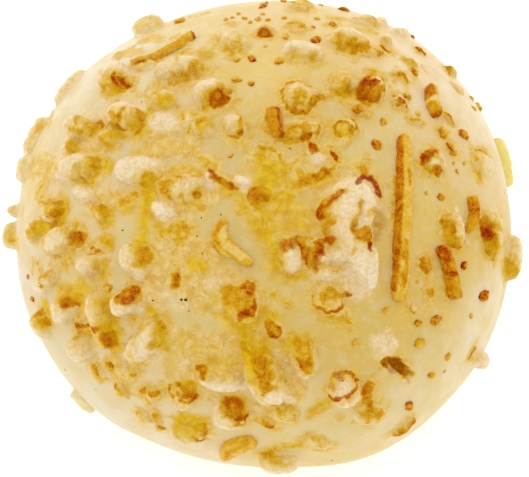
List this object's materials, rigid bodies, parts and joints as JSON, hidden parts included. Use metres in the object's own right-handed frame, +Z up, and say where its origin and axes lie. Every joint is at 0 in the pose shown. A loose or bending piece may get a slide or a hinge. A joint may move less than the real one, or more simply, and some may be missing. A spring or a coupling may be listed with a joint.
{
  "type": "cheese bun",
  "caption": "Round flat-based bread roll with a golden crust, melted cheese lumps and toasted grated shreds fused over its top and sides.",
  "frame": {"origin": "centre of the flat base that the bun rests on", "axes": "+Z up through the crown; +X to the viewer's right and -Y towards the viewer, as the bun is usually shown"},
  "size_m": [0.1044, 0.1006, 0.0554],
  "materials": {
    "crust": "baked dough crust, pale gold, slightly glossy where cheese fat has soaked in",
    "melted_cheese": "melted and set cheese, cream with toasted golden-brown tops, satin",
    "toasted_cheese": "crisp toasted cheese, golden brown to dark brown, satin",
    "golden_cheese": "lightly toasted cheese, golden, satin",
    "raw_cheese": "barely melted yellow cheese, satin"
  },
  "bodies": {
    "root": {"bun": "crust", "lump_apron": "melted_cheese", "lump_arc": "melted_cheese", "lump_arc_low": "melted_cheese", "lump_arched": "melted_cheese", "lump_biscuit": "melted_cheese", "lump_blister_mid": "melted_cheese", "lump_boot": "melted_cheese", "lump_brow": "melted_cheese", "lump_brow_low": "melted_cheese", "lump_button": "melted_cheese", "lump_capped": "melted_cheese", "lump_charred": "melted_cheese", "lump_chin": "melted_cheese", "lump_drift": "melted_cheese", "lump_drift_right": "melted_cheese", "lump_ear": "melted_cheese", "lump_edge_high": "melted_cheese", "lump_edge_low": "melted_cheese", "lump_edge_mid": "melted_cheese", "lump_edge_right": "melted_cheese", "lump_eyelet": "melted_cheese", "lump_fin": "melted_cheese", "lump_finger": "melted_cheese", "lump_knuckle": "melted_cheese", "lump_lid": "melted_cheese", "lump_long": "melted_cheese", "lump_pair_left": "melted_cheese", "lump_pair_right": "melted_cheese", "lump_patch": "melted_cheese", "lump_pearl": "melted_cheese", "lump_pillow": "melted_cheese", "lump_ridge": "melted_cheese", "lump_ring": "melted_cheese", "lump_ring_low": "melted_cheese", "lump_rough": "melted_cheese", "lump_saddle": "melted_cheese", "lump_scab": "melted_cheese", "lump_scorched": "melted_cheese", "lump_shelf": "melted_cheese", "lump_slab": "melted_cheese", "lump_split": "melted_cheese", "lump_step": "melted_cheese", "lump_thumb": "melted_cheese", "lump_twin": "melted_cheese", "lump_under_knuckle": "melted_cheese", "lump_wrinkled": "melted_cheese", "lump_yolk": "melted_cheese", "shred_curved": "toasted_cheese", "shred_flank": "toasted_cheese", "shred_fold": "golden_cheese", "shred_hook": "golden_cheese", "shred_long": "toasted_cheese", "shred_pale": "raw_cheese", "shred_stub": "toasted_cheese", "shred_thick": "toasted_cheese", "shred_wedge": "golden_cheese", "shred_yellow": "raw_cheese"}
  },
  "joints": []
}
